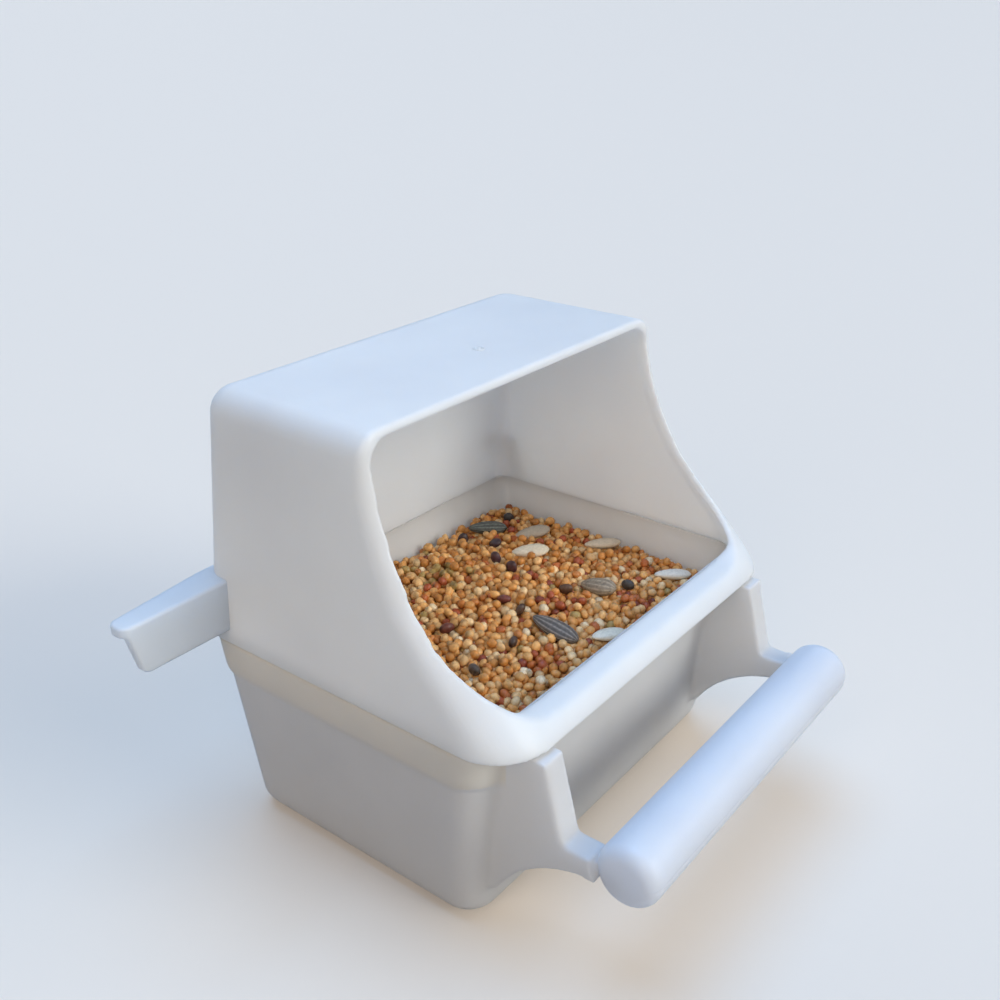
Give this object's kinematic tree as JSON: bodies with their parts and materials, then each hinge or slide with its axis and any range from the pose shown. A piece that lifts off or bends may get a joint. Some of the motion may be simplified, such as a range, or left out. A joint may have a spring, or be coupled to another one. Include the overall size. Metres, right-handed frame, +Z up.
{
  "type": "hooded cage seed cup",
  "caption": "White hooded seed cup for a bird cage, with a windowed lift-off hood, a tapered tray of seed, a front perch on brackets and side hangers.",
  "frame": {"origin": "centre of the tray's underside", "axes": "+X to the right along the perch, +Y to the back, away from the perch, +Z up"},
  "size_m": [0.1406, 0.0995, 0.0939],
  "materials": {
    "hood_plastic": "satin white moulded polypropylene",
    "tray_plastic": "satin white moulded polypropylene",
    "perch_plastic": "satin white moulded polypropylene",
    "millet": null,
    "sunflower_hull": null,
    "melon_hull": null,
    "vetch": null
  },
  "bodies": {
    "tray": {"tray": "tray_plastic", "seed_heap": "millet", "millet_grains": "millet", "sunflower_seeds": "sunflower_hull", "melon_seeds": "melon_hull", "vetch_seeds": "vetch"},
    "hood": {"hood": "hood_plastic", "hanger_left": "hood_plastic", "hanger_right": "hood_plastic"},
    "perch": {"perch_bar": "perch_plastic"}
  },
  "joints": [
    {"name": "hood_lift", "type": "slide", "parent": "tray", "child": "hood", "axis": [0, 0, 1], "range_m": [0, 0.06]},
    {"name": "perch_pull_off", "type": "slide", "parent": "tray", "child": "perch", "axis": [0, -1, 0], "range_m": [0, 0.012]}
  ]
}
